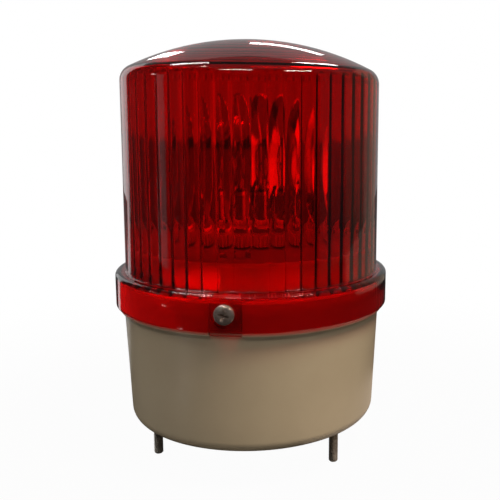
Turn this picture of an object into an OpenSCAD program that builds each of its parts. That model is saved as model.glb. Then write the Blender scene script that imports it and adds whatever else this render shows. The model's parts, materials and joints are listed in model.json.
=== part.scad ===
// Rotating warning beacon: a fluted red lens on a round base, with a lamp, a turning mirror and a geared motor.
// The origin is the centre of the base's mounting face, +Z is up, and one lens screw faces -Y.

/* [Lens] */
// Outer diameter of the lens skirt
skirt_d = 120; // [118:0.5:126]
// Height of the lens skirt
skirt_h = 15; // [14:0.5:18]
// Wall of the lens skirt
skirt_wall = 2.6; // [2.2:0.1:3]
// Rounding of the skirt's top edge
skirt_edge_r = 2; // [1:0.1:2.4]
// Width of the ledge between the skirt and the lens wall
ledge_w = 4.4; // [4:0.1:5.2]
// Thickness of the ledge
ledge_t = 2.5; // [2.2:0.1:3]
// Height of the dome's top above the ledge
lens_h = 98; // [94:1:115]
// Thickness of the lens wall between the flutes
lens_wall = 2.6; // [2:0.1:3]
// How much the lens radius narrows up to the shoulder
lens_draft = 0.4; // [0.1:0.1:0.8]
// Rise of the dome above the end of the straight wall
dome_rise = 18; // [14:0.5:24]
// Rounding between the wall and the dome
shoulder_r = 6.5; // [5:0.1:9]
// Number of flutes on the inside of the lens wall
flute_count = 54; // [45:1:60]
// How far a flute stands in from the wall
flute_depth = 0.7; // [0.5:0.1:1.2]
// Bare wall between two flutes
flute_land = 0.6; // [0.4:0.1:1.2]

/* [Lens screws] */
// Thread diameter of the lens screws
lens_screw_d = 4; // [3:0.5:4]
// Length of the lens screws under the head
lens_screw_l = 9; // [8:0.5:9.5]
// Diameter of the round seat around each head
screw_seat_d = 10.4; // [9:0.1:11]
// Depth of that seat
screw_seat_depth = 1; // [0.6:0.1:1.2]
// Width of the flat pad behind each head
screw_pad_w = 12; // [11:0.5:14]

/* [Base] */
// Height of the base from its mounting face to the lens skirt
base_h = 51; // [46:1:70]
// Wall of the base
base_wall = 2.5; // [2:0.1:3]
// Thickness of the floor
floor_t = 3; // [2.5:0.1:4]
// How much the base radius narrows down to the mounting face
base_draft = 2.1; // [1:0.1:3]
// Rounding of the bottom edge
base_edge_r = 5; // [3:0.1:6]
// Height of the rim under the lens skirt
rim_h = 1.2; // [0.8:0.1:2]
// How far the rim stands out from the wall
rim_proud = 1.8; // [1:0.1:2.2]
// Thickness of the seal between the neck and the lens
gasket_t = 1.5; // [1:0.1:2]
// Diameter of the three pillars that carry the deck
pillar_d = 10; // [8:0.5:11]
// Room between the pillars and the deck's skirt
pillar_room = 1.5; // [1:0.1:3]
// Thickness of the webs between the pillars and the wall
web_t = 2; // [1.6:0.1:3]
// How far the webs end below the rim
web_drop = 2; // [1:0.5:20]

/* [Mounting] */
// Circle on which the studs stand
stud_pcd = 90; // [84:1:92]
// Thread diameter of the studs
stud_d = 4; // [3:0.5:5]
// How far the studs stand out below the mounting face
stud_l = 16; // [8:1:30]
// Bore of the cable grommet
cable_d = 6.5; // [4:0.5:8]

/* [Deck] */
// Height of the deck's underside above the lens ledge
deck_lift = 8; // [7:0.5:12]
// Thickness of the deck
deck_t = 2; // [1.6:0.1:3]
// Room between the deck's edge and the flutes
deck_room = 2.9; // [1.5:0.1:4]
// Depth of the skirt under the deck
deck_skirt_h = 16; // [10:1:18]
// Outer diameter of the centre post
post_d = 20; // [19.5:0.1:21]
// Height of the centre post above the deck
post_h = 10; // [9.5:0.1:14]

/* [Drive] */
// Module of the gear teeth
gear_module = 0.8; // [0.75:0.01:0.82]
// Room between the motor and the deck's skirt
motor_room = 2; // [1.5:0.1:4]
// Teeth of the motor pinion
pinion_teeth = 12; // [12:1:13]
// Pressure angle of the teeth
pressure_angle = 25; // [22:0.5:26]
// Width of the gears along their axes
gear_w = 5; // [4:0.1:5.2]
// Diameter of the motor can
motor_d = 24.4; // [20:0.1:25]
// Length of the motor can
motor_l = 31; // [20:1:32]
// Diameter of the motor shaft
shaft_d = 2; // [1.5:0.1:3]

/* [Reflector] */
// Diameter of the mirror
mirror_d = 60; // [56:0.5:62]
// Focal length of the mirror
mirror_focus = 15; // [14:0.1:18]
// Wall of the mirror along its axis
mirror_wall = 1.4; // [1.2:0.1:2]
// Width of the lip around the mirror
mirror_lip = 1; // [0.6:0.1:2]
// Direction in which the mirror looks at rest
mirror_heading = -105; // [-180:1:180]

/* [Lamp] */
// Diameter of the lamp's cap
lamp_cap_d = 15.2; // [15:0.1:15.4]
// Length of the lamp's cap
lamp_cap_l = 14.5; // [13:0.5:15]
// Diameter of the lamp's glass bulb
lamp_glass_d = 18.4; // [16:0.1:20]
// Distance from the bayonet pins to the filament
lamp_light_l = 19; // [18:0.1:22]
// Wall of the lamp holder's shell
socket_wall = 0.75; // [0.6:0.05:0.8]

/* [Hidden] */
$fn = 96;

// Small steps that keep cuts clear of the faces they pass through
cut = 1;
bite = 0.4;

// Clearances
skirt_gap = 0.5;
skirt_lift = 0.3;
key_gap = 0.4;
hole_gap = 0.25;
thread_gap = 0.05;
running_gap = 0.05;
slide_gap = 0.1;
end_play = 0.2;
tooth_play = 0.09;

// Heights
rim_top = base_h - skirt_lift;
rim_bottom = rim_top - rim_h;
ledge_z = base_h + skirt_h;
seat_z = ledge_z - ledge_t;
neck_z = seat_z - gasket_t;
apex_z = ledge_z + lens_h;
shoulder_z = apex_z - dome_rise;
flute_margin = 2;
flute_top = shoulder_z - flute_margin;
deck_z = ledge_z + deck_lift;
deck_top = deck_z + deck_t;
post_top = deck_top + post_h;

// Radii of the lens
skirt_r = skirt_d / 2;
skirt_ir = skirt_r - skirt_wall;
skirt_foot_r = 0.8;
lens_r = skirt_r - ledge_w;
lens_top_r = lens_r - lens_draft;
lens_ir = lens_top_r - lens_wall;
flute_tip_r = lens_ir - flute_depth;
root_r = 0.8;

// The dome is a sphere that runs smoothly into the shoulder
dome_r = (pow(lens_top_r - shoulder_r, 2) + pow(dome_rise, 2) - pow(shoulder_r, 2))
    / (2 * (dome_rise - shoulder_r));
dome_z = apex_z - dome_r;
dome_angle = atan2(shoulder_z - dome_z, lens_top_r - shoulder_r);

// A flute is part of a circle through its tip and its two edges
flute_half_angle = 180 / flute_count - asin(flute_land / 2 / lens_ir);
flute_half_w = lens_ir * sin(flute_half_angle);
flute_sag = lens_ir * cos(flute_half_angle) - flute_tip_r;
flute_r = (pow(flute_half_w, 2) + pow(flute_sag, 2)) / (2 * flute_sag);

// Radii of the base
neck_r = skirt_ir - skirt_gap;
neck_step = 0.3;
neck_ir = neck_r - base_wall;
base_top_r = neck_r - neck_step;
base_foot_r = base_top_r - base_draft;
rim_r = base_top_r + rim_proud;

// Lens screws, their pads and their bosses
screw_angles = [-90, 30, 150];
lens_screw_z = base_h + skirt_h / 2;
screw_seat_r = skirt_r - screw_seat_depth;
lens_head_d = 2 * lens_screw_d;
lens_head_h = 0.6 * lens_screw_d;
pad_proud = 0.9;
pad_face_r = neck_r - pad_proud;
recess_r = pad_face_r - key_gap;
boss_depth = 6.2;
boss_in_r = recess_r - boss_depth;
boss_narrow = 1;
boss_w = screw_pad_w - boss_narrow;
boss_h = 9.6;
boss_z = neck_z - boss_h;
insert_wall = 0.9;
insert_d = lens_screw_d + 2 * insert_wall;
insert_l = 5;
gasket_r = pad_face_r - key_gap;
gasket_ir = neck_ir + slide_gap;

// Studs, with a hex head in a pocket and a plain neck in the floor
stud_angles = [-150, -30, 90];
stud_step = 0.4;
stud_neck_d = stud_d + 2 * stud_step;
stud_head_af = 1.75 * stud_d;
stud_head_h = 0.7 * stud_d;
stud_pad_wall = 3;
stud_pad_d = stud_head_af + 2 * stud_pad_wall;
stud_seat_lift = 1;
stud_seat_z = floor_t + stud_seat_lift;
stud_tip = 0.15 * stud_d;
stud_pad_top = stud_seat_z + stud_head_h;

// Cable grommet in the middle of the floor
grommet_flange_w = 5.25;
grommet_wall = 2.25;
grommet_flange_d = cable_d + 2 * grommet_flange_w;
grommet_neck_d = cable_d + 2 * grommet_wall;
grommet_flange_t = 1.3;
grommet_lift = 0.2;
cable_recess = grommet_flange_t + grommet_lift;
cable_pad_wall = 3;
cable_pad_d = grommet_flange_d + 2 * cable_pad_wall;
cable_pad_top = floor_t + cable_recess;
grommet_head_t = 2;
grommet_taper = 1;
grommet_top = cable_pad_top + grommet_head_t;

// Deck, its skirt, its screws and the post
deck_r = flute_tip_r - deck_room;
deck_overhang = 2.5;
deck_skirt_r = deck_r - deck_overhang;
deck_skirt_wall = 2;
deck_skirt_ir = deck_skirt_r - deck_skirt_wall;
pillar_pcd = 2 * (deck_skirt_ir - pillar_room) - pillar_d;
deck_rib_t = 1.6;
deck_rib_h = 5;
deck_screw_d = 3;
deck_screw_l = 14;
deck_head_d = 6;
deck_head_h = 2.1;
pilot_l = 18;
post_r = post_d / 2;
post_foot_r = post_r;
socket_gap = 0.15;
socket_r = lamp_cap_d / 2 + socket_gap + socket_wall;
post_ir = socket_r + slide_gap;
groove_depth = 0.7;
ring_t = 1;
ring_w = 3;

// Turntable: washer, gear, then the ring that keeps it down
washer_t = 0.8;
washer_w = 4;
gear_z = deck_top + washer_t + end_play;
gear_top = gear_z + gear_w;
ring_z = gear_top + end_play + slide_gap;
gear_web_t = 2.5;
gear_hub_w = 4.2;
gear_rim_w = 2;
motor_reach = deck_skirt_ir - motor_room - motor_d / 2;
gear_teeth = floor(2 * motor_reach / gear_module) - pinion_teeth;
gear_pitch_r = gear_module * gear_teeth / 2;
pinion_pitch_r = gear_module * pinion_teeth / 2;
centre_distance = gear_pitch_r + pinion_pitch_r;
addendum = 0.8 * gear_module;
dedendum = gear_module;
flank_steps = 4;

// Motor under the deck
motor_y = centre_distance;
motor_boss_d = 6;
motor_screw_d = 2;
motor_screw_l = 5;
motor_screw_x = 8;
motor_head_d = 3.8;
motor_head_h = 1.3;
motor_edge = 1;
end_cap_h = 2;
tag_x = 6;
tag_h = 3;
tag_w = 2.4;
tag_t = 0.8;
shaft_hold = 14;
shaft_proud = 0.5;

// Mirror and its foot on the turntable
lamp_pin_h = 5;
pin_z = post_top + lamp_pin_h;
lamp_z = pin_z + lamp_light_l;
mirror_r = mirror_d / 2;
mirror_depth = pow(mirror_r, 2) / (4 * mirror_focus);
mirror_steps = 14;
foot_t = 2;
foot_top = gear_top + foot_t;
foot_ir = post_r + ring_w;
foot_r = gear_pitch_r - dedendum - gear_rim_w;
foot_screw_r = (foot_ir + foot_r) / 2;
foot_screw_angle = 45;
foot_screw_d = 2.5;
foot_screw_l = 4.4;
foot_head_d = 4.6;
foot_head_h = 1.5;
mirror_rib_t = 1.6;
mirror_rib_room = 1.4;
mirror_rib_y = foot_screw_r * sin(foot_screw_angle) - foot_head_d / 2 - mirror_rib_room - mirror_rib_t / 2;
mirror_rib_drop = 6;
mirror_rib_inset = 1;

// Lamp and its holder
cap_r = lamp_cap_d / 2;
socket_ir = socket_r - socket_wall;
socket_flange_r = post_r - slide_gap;
socket_flange_t = 1;
socket_floor_t = 1;
socket_floor_ir = 4;
socket_rim_h = 5.5;
socket_rim_z = pin_z + socket_rim_h;
lamp_pin_d = 2;
lamp_pin_proud = 1.3;
slot_gap = 0.2;
slot_w = lamp_pin_d + 2 * slot_gap;
slot_turn = 34;
pin_turn = 24;
cap_over_pin = 7;
cap_top = pin_z + cap_over_pin;
cap_z = cap_top - lamp_cap_l;
cap_seat = 2;
cap_rim = 1;
lamp_contact_d = 6;
lamp_contact_h = 1;
glass_r = lamp_glass_d / 2;
glass_t = 0.7;
glass_neck_r = cap_r - cap_rim - slide_gap;
glass_z = cap_top - cap_seat;
insulator_t = 2;
leaf_h = 0.8;
leaf_d = 7;
contact_d = 4;
insulator_top = cap_z - lamp_contact_h - leaf_h;
insulator_z = insulator_top - insulator_t;
socket_z = insulator_z - socket_floor_t;
contact_tail = 1.5;
contact_z = socket_z - contact_tail;

// Terminal block on the floor, with four ways that face +X
block_l = 22;
block_w = 12;
block_h = 14;
block_x = -32;
block_y = -12;
way_count = 4;
way_pitch = 5;
way_z = 10;
way_d = 1.8;
way_l = 5;
way_screw_d = 3;
way_screw_h = 3;
way_well = 4;

// Inner wiring: the points that each lead passes through
lead_d = 1.5;
lead_sides = 8;
lead_steps = 2;
lead_drop = 4;
lamp_lead_routes = [
    [[0, 0, contact_z], [0, 0, 70], [-2, -1, 58], [-6, -5, 40], [-9, -8, 22],
        [-12, -8.5, 13], [-16, -8.5, 10], [-19, -8.5, 10], [-24, -8.5, 10]],
    [[-6, 0, socket_z], [-6, 0, 70], [-7, -1, 58], [-9, -3, 40], [-10, -3.5, 22],
        [-13, -3.5, 13], [-16, -3.5, 10], [-19, -3.5, 10], [-24, -3.5, 10]]
];
tag_z = deck_z - motor_l - end_cap_h - tag_h;
motor_lead_routes = [
    [[-tag_x, motor_y, tag_z], [-tag_x, motor_y, tag_z - lead_drop], [-6, 26, 27], [-8, 14, 18], [-11, 4, 12],
        [-15, 1.5, 10], [-19, 1.5, 10], [-24, 1.5, 10]],
    [[tag_x, motor_y, tag_z], [tag_x, motor_y, tag_z - lead_drop], [3, 27, 26], [-4, 18, 16], [-10, 9, 11.5],
        [-15, 6.5, 10], [-19, 6.5, 10], [-24, 6.5, 10]]
];

// Colours
beige = [0.55, 0.50, 0.41];
clear_red = [0.72, 0.02, 0.03, 0.6];
pale_grey = [0.78, 0.77, 0.74];
nickel = [0.72, 0.71, 0.68];
zinc = [0.45, 0.45, 0.44];
brass = [0.80, 0.63, 0.30];
black = [0.08, 0.08, 0.08];

// Points of an arc around a centre, in steps from one angle to another
function arc(centre, r, from, to, steps) =
    [for (i = [0 : steps]) let (a = from + (to - from) * i / steps) centre + r * [cos(a), sin(a)]];

// Radius of the base's outer wall at a height
function base_wall_r(z) = base_foot_r + base_draft * z / rim_bottom;

// Involute gear teeth: half the angle that a tooth covers at a radius
function involute(angle) = tan(angle) * 180 / PI - angle;
function tooth_half_angle(r, teeth) =
    let (pitch_r = gear_module * teeth / 2, base_r = pitch_r * cos(pressure_angle))
    (PI * gear_module / 2 - tooth_play) / (2 * pitch_r) * 180 / PI
        + involute(pressure_angle) - involute(acos(min(1, base_r / max(r, base_r))));
function polar(r, angle) = r * [cos(angle), sin(angle)];
function flank_radii(teeth) =
    let (pitch_r = gear_module * teeth / 2, start = max(pitch_r * cos(pressure_angle), pitch_r - dedendum))
    [for (i = [0 : flank_steps]) start + (pitch_r + addendum - start) * i / flank_steps];
function tooth(teeth, at) =
    let (radii = flank_radii(teeth), root = gear_module * teeth / 2 - dedendum,
        edge = tooth_half_angle(radii[0], teeth))
    concat(
        radii[0] > root ? [polar(root, at - edge)] : [],
        [for (r = radii) polar(r, at - tooth_half_angle(r, teeth))],
        [for (i = [flank_steps : -1 : 0]) polar(radii[i], at + tooth_half_angle(radii[i], teeth))],
        radii[0] > root ? [polar(root, at + edge)] : []
    );
function gear_outline(teeth) = [for (i = [0 : teeth - 1]) each tooth(teeth, i * 360 / teeth)];

// Smooth route through a list of points
function route_point(p, i, t) =
    let (last = len(p) - 1, a = p[max(i - 1, 0)], b = p[i], c = p[i + 1], d = p[min(i + 2, last)])
    0.5 * (2 * b + (c - a) * t + (2 * a - 5 * b + 4 * c - d) * t * t + (3 * b - a - 3 * c + d) * t * t * t);
function smooth_route(p) = concat(
    [for (i = [0 : len(p) - 2], j = [0 : lead_steps - 1]) route_point(p, i, j / lead_steps)],
    [p[len(p) - 1]]
);
function unit(v) = v / norm(v);
// The end rings are square to the route's first and last stretch, so that a lead meets a flat face flat
function heading(p, i, route) =
    i == 0 ? unit(route[1] - route[0])
    : i == len(p) - 1 ? unit(route[len(route) - 1] - route[len(route) - 2])
    : unit(p[i + 1] - p[i - 1]);
function ring(centre, along, r) =
    let (side = unit(cross(along, [0, 1, 0])), up = cross(side, along))
    [for (k = [0 : lead_sides - 1])
        let (a = k * 360 / lead_sides) centre + r * (cos(a) * side + sin(a) * up)];

module sweep_tube(route, r) {
    path = smooth_route(route);
    rings = len(path);
    points = [for (i = [0 : rings - 1]) each ring(path[i], heading(path, i, route), r)];
    walls = [for (i = [0 : rings - 2], k = [0 : lead_sides - 1])
        let (n = (k + 1) % lead_sides, a = i * lead_sides, b = a + lead_sides)
        each [[a + k, b + k, b + n], [a + k, b + n, a + n]]];
    near = [for (k = [0 : lead_sides - 1]) k];
    far = [for (k = [lead_sides - 1 : -1 : 0]) (rings - 1) * lead_sides + k];
    polyhedron(points, concat([near], walls, [far]), convexity = 4);
}

// A tube on the Z axis from one height to another
module tube(r, ir, from, to) {
    translate([0, 0, from])
        difference() {
            cylinder(r = r, h = to - from);
            translate([0, 0, -cut]) cylinder(r = ir, h = to - from + 2 * cut);
        }
}

// A round hole through a height
module hole(d, from, to) {
    translate([0, 0, from]) cylinder(d = d, h = to - from);
}

// A straight round rod between two points
module rod(p, q, d) {
    v = q - p;
    translate(p) rotate([0, acos(v.z / norm(v)), atan2(v.y, v.x)]) cylinder(d = d, h = norm(v), $fn = 24);
}

module at_lens_screws() {
    for (a = screw_angles) rotate([0, 0, a]) children();
}

// Places children at the three pillars
module at_pillars() {
    at_lens_screws() translate([pillar_pcd / 2, 0, 0]) children();
}

module at_studs() {
    for (a = stud_angles) rotate([0, 0, a]) translate([stud_pcd / 2, 0, 0]) children();
}

module at_motor() {
    translate([0, motor_y, 0]) children();
}

module at_motor_screws() {
    at_motor() for (x = [-motor_screw_x, motor_screw_x]) translate([x, 0, 0]) children();
}

module at_foot_screws() {
    for (a = [-foot_screw_angle, foot_screw_angle])
        rotate([0, 0, mirror_heading + 180 + a]) translate([foot_screw_r, 0, 0]) children();
}

// Turns +Z outwards along +X, at a height
module facing_out(z) {
    translate([0, 0, z]) rotate([0, 90, 0]) children();
}

// Pan-head screw with a cross recess: the head's seat is at z 0 and the shank runs down
module pan_screw(d, l, head_d, head_h) {
    recess_l = 0.56 * head_d;
    recess_w = 0.13 * head_d;
    recess_depth = 0.6 * head_h;
    crown = 0.35 * head_h;
    crown_angle = 75;
    difference() {
        union() {
            rotate_extrude()
                polygon(concat(
                    [[0, 0], [head_d / 2, 0]],
                    arc([head_d / 2 - crown, head_h - crown], crown, 0, crown_angle, 5),
                    [[0, head_h]]
                ));
            translate([0, 0, -l]) cylinder(d = d, h = l + bite);
        }
        for (a = [0, 90])
            rotate([0, 0, a])
                translate([-recess_l / 2, -recess_w / 2, head_h - recess_depth])
                    cube([recess_l, recess_w, head_h]);
    }
}

module base_shell() {
    inner_edge_r = base_edge_r / 2;
    floor_r = base_wall_r(floor_t) - base_wall;
    rotate_extrude()
        polygon(concat(
            [[0, 0]],
            arc([base_wall_r(base_edge_r) - base_edge_r, base_edge_r], base_edge_r, -90, 0, 8),
            [
                [base_top_r, rim_bottom], [rim_r, rim_bottom], [rim_r, rim_top], [neck_r, rim_top],
                [neck_r, neck_z], [neck_ir, neck_z], [base_top_r - base_wall, rim_bottom]
            ],
            arc([floor_r - inner_edge_r, floor_t + inner_edge_r], inner_edge_r, 0, -90, 5),
            [[0, floor_t]]
        ));
}

// A pillar with a web that runs out to the wall
module pillar() {
    web_top = rim_bottom - web_drop;
    mid_wall = base_wall / 2;
    translate([pillar_pcd / 2, 0, floor_t - bite])
        cylinder(d = pillar_d, h = deck_z - floor_t + bite);
    translate([0, web_t / 2, 0])
        rotate([90, 0, 0])
            linear_extrude(web_t)
                polygon([
                    [pillar_pcd / 2, floor_t - bite],
                    [base_wall_r(floor_t) - base_edge_r, floor_t - bite],
                    [base_wall_r(base_edge_r) - mid_wall, base_edge_r],
                    [base_wall_r(web_top) - mid_wall, web_top],
                    [pillar_pcd / 2, web_top]
                ]);
}

module base_housing() {
    color(beige)
        difference() {
            union() {
                base_shell();
                at_lens_screws() {
                    pillar();
                    translate([boss_in_r, -boss_w / 2, boss_z])
                        cube([neck_ir + bite - boss_in_r, boss_w, boss_h]);
                }
                at_studs() hole(stud_pad_d, floor_t - bite, stud_pad_top);
                hole(cable_pad_d, floor_t - bite, cable_pad_top);
            }
            at_lens_screws() {
                translate([recess_r, -screw_pad_w / 2 - key_gap, rim_bottom - bite])
                    cube([rim_r, screw_pad_w + 2 * key_gap, neck_z - rim_bottom + bite + cut]);
                facing_out(lens_screw_z) {
                    hole(lens_screw_d + 2 * hole_gap, boss_in_r - cut, rim_r);
                    hole(insert_d + 2 * thread_gap, boss_in_r - cut, boss_in_r + insert_l);
                }
            }
            at_pillars() hole(deck_screw_d + 2 * thread_gap, deck_z - pilot_l, deck_z + cut);
            at_studs() {
                hole(stud_neck_d + 2 * thread_gap, -cut, stud_seat_z + cut);
                translate([0, 0, stud_seat_z])
                    cylinder(d = (stud_head_af + 2 * slide_gap) / cos(30), h = stud_head_h + cut, $fn = 6);
            }
            hole(grommet_neck_d + 2 * slide_gap, -cut, cable_pad_top + cut);
            hole(grommet_flange_d + 2 * hole_gap, -cut, cable_recess);
        }
}

// The lens without its hollow
module lens_body() {
    rotate_extrude()
        polygon(concat(
            [[0, base_h]],
            arc([skirt_r - skirt_foot_r, base_h + skirt_foot_r], skirt_foot_r, -90, 0, 4),
            arc([skirt_r - skirt_edge_r, ledge_z - skirt_edge_r], skirt_edge_r, 0, 90, 6),
            arc([lens_r + root_r, ledge_z + root_r], root_r, -90, -180, 4),
            arc([lens_top_r - shoulder_r, shoulder_z], shoulder_r, 0, dome_angle, 8),
            [for (i = [1 : 10]) let (a = dome_angle + (90 - dome_angle) * i / 10)
                [dome_r * cos(a), dome_z + dome_r * sin(a)]]
        ));
}

// The hollow of the lens, with the flutes left standing on its wall and one of them in line with a screw
module lens_hollow() {
    hollow_shoulder_r = shoulder_r - lens_wall;
    hollow_dome_r = dome_r - lens_wall;
    hole(2 * skirt_ir, base_h - cut, seat_z);
    difference() {
        rotate_extrude()
            polygon(concat(
                [[0, seat_z - bite], [lens_ir, seat_z - bite]],
                arc([lens_top_r - shoulder_r, shoulder_z], hollow_shoulder_r, 0, dome_angle, 8),
                [for (i = [1 : 10]) let (a = dome_angle + (90 - dome_angle) * i / 10)
                    [hollow_dome_r * cos(a), dome_z + hollow_dome_r * sin(a)]]
            ));
        for (i = [0 : flute_count - 1])
            rotate([0, 0, screw_angles[0] + i * 360 / flute_count])
                translate([flute_tip_r + flute_r, 0, 0])
                    hole(2 * flute_r, seat_z - cut, flute_top);
    }
}

module lens() {
    color(clear_red)
        difference() {
            union() {
                difference() {
                    lens_body();
                    lens_hollow();
                }
                at_lens_screws()
                    translate([pad_face_r, -screw_pad_w / 2, base_h + skirt_foot_r])
                        cube([skirt_ir + skirt_wall / 2 - pad_face_r, screw_pad_w,
                            seat_z + ledge_t / 2 - base_h - skirt_foot_r]);
            }
            at_lens_screws()
                facing_out(lens_screw_z) {
                    hole(lens_screw_d + 2 * hole_gap, pad_face_r - cut, skirt_r + cut);
                    hole(screw_seat_d, screw_seat_r, skirt_r + cut);
                }
        }
}

module lens_gasket() {
    color(pale_grey) tube(gasket_r, gasket_ir, neck_z, seat_z);
}

module lens_screws() {
    color(nickel)
        at_lens_screws()
            facing_out(lens_screw_z)
                translate([0, 0, screw_seat_r])
                    pan_screw(lens_screw_d, lens_screw_l, lens_head_d, lens_head_h);
}

module lens_screw_inserts() {
    color(brass)
        at_lens_screws()
            facing_out(lens_screw_z)
                tube(insert_d / 2, lens_screw_d / 2 + thread_gap, boss_in_r, boss_in_r + insert_l);
}

module mounting_studs() {
    color(zinc)
        at_studs() {
            translate([0, 0, stud_seat_z])
                cylinder(d = stud_head_af / cos(30), h = stud_head_h, $fn = 6);
            hole(stud_neck_d, 0, stud_seat_z + bite);
            hole(stud_d, stud_tip - stud_l, bite);
            translate([0, 0, -stud_l])
                cylinder(d1 = stud_d - 2 * stud_tip, d2 = stud_d, h = stud_tip);
        }
}

module cable_grommet() {
    flange_r = grommet_flange_d / 2;
    neck = grommet_neck_d / 2;
    color(black)
        rotate_extrude()
            polygon([
                [cable_d / 2, grommet_lift], [flange_r, grommet_lift], [flange_r, cable_recess],
                [neck, cable_recess], [neck, cable_pad_top], [flange_r, cable_pad_top],
                [flange_r - grommet_taper, grommet_top], [cable_d / 2, grommet_top]
            ]);
}

// Deck, skirt and centre post in one moulding
module chassis() {
    color(pale_grey)
        difference() {
            union() {
                hole(2 * deck_r, deck_z, deck_top);
                tube(deck_skirt_r, deck_skirt_ir, deck_z - deck_skirt_h, deck_z + bite);
                hole(2 * post_r, deck_z, post_top);
                for (a = [-60, 0, 180, -120])
                    rotate([0, 0, a])
                        translate([post_ir + bite, -deck_rib_t / 2, deck_z - deck_rib_h])
                            cube([deck_skirt_r - deck_skirt_wall / 2 - post_ir - bite, deck_rib_t,
                                deck_rib_h + bite]);
            }
            hole(2 * post_ir, deck_z - deck_rib_h - cut, post_top + cut);
            tube(post_r + cut, post_r - groove_depth, ring_z - slide_gap, ring_z + ring_t + slide_gap);
            at_pillars() hole(deck_screw_d + 2 * slide_gap, deck_z - cut, deck_top + cut);
            at_motor() hole(motor_boss_d, deck_z - cut, deck_top + cut);
            at_motor_screws() hole(motor_screw_d + 2 * slide_gap, deck_z - cut, deck_top + cut);
        }
}

module chassis_screws() {
    color(nickel)
        at_pillars()
            translate([0, 0, deck_top]) pan_screw(deck_screw_d, deck_screw_l, deck_head_d, deck_head_h);
}

module motor_can() {
    color(nickel)
        at_motor()
            difference() {
                translate([0, 0, deck_z - motor_l])
                    rotate_extrude()
                        polygon(concat(
                            [[0, 0], [motor_d / 2, 0]],
                            arc([motor_d / 2 - motor_edge, motor_l - motor_edge], motor_edge, 0, 90, 4),
                            [[0, motor_l]]
                        ));
                hole(shaft_d + 2 * running_gap, deck_z - shaft_hold - cut, deck_z + cut);
                for (x = [-motor_screw_x, motor_screw_x])
                    translate([x, 0, 0])
                        hole(motor_screw_d + 2 * thread_gap, deck_z - motor_screw_l, deck_z + cut);
            }
}

// Plastic cap on the motor's lower end, with two solder tags
module motor_end_cap() {
    cap_z = deck_z - motor_l - end_cap_h;
    color(black)
        at_motor() {
            hole(motor_d - 2 * motor_edge, cap_z, deck_z - motor_l);
            for (x = [-tag_x, tag_x])
                translate([x - tag_w / 2, -tag_t / 2, tag_z]) cube([tag_w, tag_t, tag_h + bite]);
        }
}

module motor_screws() {
    color(nickel)
        at_motor_screws()
            translate([0, 0, deck_top])
                pan_screw(motor_screw_d, motor_screw_l, motor_head_d, motor_head_h);
}

module motor_shaft() {
    color(nickel) at_motor() hole(shaft_d, deck_z - shaft_hold, gear_top + shaft_proud);
}

module drive_pinion() {
    color(brass)
        at_motor()
            translate([0, 0, gear_z])
                difference() {
                    rotate([0, 0, -90 + 180 / pinion_teeth])
                        linear_extrude(gear_w) polygon(gear_outline(pinion_teeth));
                    hole(shaft_d + 2 * thread_gap, -cut, gear_w + cut);
                }
}

// Large gear with a hub that runs on the post and a thin web under the mirror's foot
module turntable_gear() {
    web_r = gear_pitch_r - dedendum - gear_rim_w;
    hub_r = post_r + gear_hub_w;
    color([0.90, 0.89, 0.86])
        difference() {
            translate([0, 0, gear_z])
                rotate([0, 0, 90]) linear_extrude(gear_w) polygon(gear_outline(gear_teeth));
            hole(2 * (post_r + running_gap), gear_z - cut, gear_top + cut);
            tube(web_r, hub_r, gear_z - cut, gear_top - gear_web_t);
            at_foot_screws() hole(foot_screw_d + 2 * thread_gap, gear_z - cut, gear_top + cut);
        }
}

module thrust_washer() {
    color([0.15, 0.15, 0.16])
        tube(post_r + washer_w, post_r + slide_gap, deck_top, deck_top + washer_t);
}

// Open ring that snaps into the post's groove
module retaining_ring() {
    ring_r = post_r - groove_depth + ring_w;
    mouth = post_r;
    color(nickel)
        difference() {
            tube(ring_r, post_r - groove_depth + thread_gap, ring_z, ring_z + ring_t);
            rotate([0, 0, mirror_heading])
                translate([0, -mouth / 2, ring_z - cut]) cube([ring_r + cut, mouth, ring_t + 2 * cut]);
        }
}

// Points along the mirror's curve, as radius and height over its lowest point
function mirror_curve(shift) =
    [for (i = [0 : mirror_steps]) let (r = mirror_r * i / mirror_steps) [r, pow(r, 2) / (4 * mirror_focus) + shift]];
function backwards(p) = [for (i = [len(p) - 1 : -1 : 0]) p[i]];

// Places a dish so that it looks along +X with its focus on the lamp's filament
module at_mirror() {
    translate([-mirror_focus, 0, lamp_z]) rotate([0, 90, 0]) children();
}

module mirror_dish() {
    lip_r = mirror_r + mirror_lip;
    rotate_extrude()
        polygon(concat(
            mirror_curve(0),
            [[lip_r, mirror_depth], [lip_r, mirror_depth - mirror_wall]],
            backwards(mirror_curve(-mirror_wall))
        ));
}

// The space in front of the middle of the mirror's wall
module mirror_front() {
    rotate_extrude()
        polygon(concat(mirror_curve(-mirror_wall / 2), [[0, mirror_depth - mirror_wall / 2]]));
}

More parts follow.
